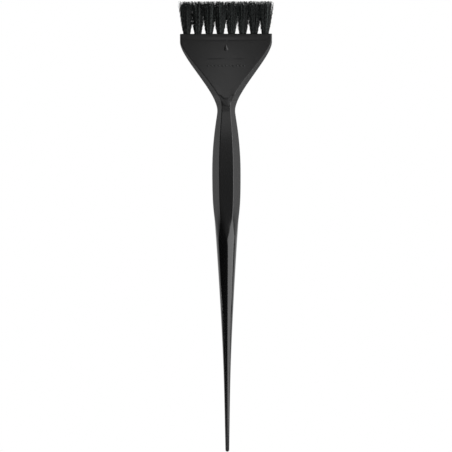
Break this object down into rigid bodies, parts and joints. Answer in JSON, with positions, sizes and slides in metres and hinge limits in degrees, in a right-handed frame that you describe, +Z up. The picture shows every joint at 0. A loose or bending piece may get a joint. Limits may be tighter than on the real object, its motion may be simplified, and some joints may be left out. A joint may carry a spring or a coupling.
{
  "type": "tint brush",
  "caption": "Hair colouring brush with a wide flat head of springy crimped bristle tufts, a faceted grip and a long tapering sectioning tail.",
  "frame": {"origin": "tip of the tail, at the centre of the footprint", "axes": "+Z up along the handle from the tail to the bristles, X across the width of the head, -Y out of the front face"},
  "size_m": [0.0474, 0.0114, 0.225],
  "materials": {
    "handle_plastic": "black injection-moulded polypropylene, satin on the head and glossy on the grip and tail",
    "bristle_nylon": "black crimped nylon filament with a faint cool tint",
    "anchor_wire": "plain drawn flat wire"
  },
  "bodies": {
    "handle": {"handle": "handle_plastic", "tuft_root_front_1": "bristle_nylon", "tuft_root_front_2": "bristle_nylon", "tuft_root_front_3": "bristle_nylon", "tuft_root_front_4": "bristle_nylon", "tuft_root_front_5": "bristle_nylon", "tuft_root_front_6": "bristle_nylon", "tuft_root_front_7": "bristle_nylon", "tuft_root_front_8": "bristle_nylon", "tuft_root_back_1": "bristle_nylon", "tuft_root_back_2": "bristle_nylon", "tuft_root_back_3": "bristle_nylon", "tuft_root_back_4": "bristle_nylon", "tuft_root_back_5": "bristle_nylon", "tuft_root_back_6": "bristle_nylon", "tuft_root_back_7": "bristle_nylon", "tuft_root_back_8": "bristle_nylon", "anchors_front_row": "anchor_wire", "anchors_back_row": "anchor_wire"},
    "front_row": {"tuft_front_1": "bristle_nylon", "tuft_front_2": "bristle_nylon", "tuft_front_3": "bristle_nylon", "tuft_front_4": "bristle_nylon", "tuft_front_5": "bristle_nylon", "tuft_front_6": "bristle_nylon", "tuft_front_7": "bristle_nylon", "tuft_front_8": "bristle_nylon"},
    "back_row": {"tuft_back_1": "bristle_nylon", "tuft_back_2": "bristle_nylon", "tuft_back_3": "bristle_nylon", "tuft_back_4": "bristle_nylon", "tuft_back_5": "bristle_nylon", "tuft_back_6": "bristle_nylon", "tuft_back_7": "bristle_nylon", "tuft_back_8": "bristle_nylon"}
  },
  "joints": [
    {"name": "front_row_flex", "type": "hinge", "parent": "handle", "child": "front_row", "pos_m": [0, -0.00225, 0.209], "axis": [1, 0, 0], "range_deg": [-25, 25], "stiffness_Nm_per_rad": 0.008},
    {"name": "back_row_flex", "type": "hinge", "parent": "handle", "child": "back_row", "pos_m": [0, 0.00225, 0.209], "axis": [1, 0, 0], "range_deg": [-25, 25], "stiffness_Nm_per_rad": 0.008}
  ],
  "couplings": [
    {"joint": "back_row_flex", "follows": "front_row_flex", "ratio": 1}
  ]
}
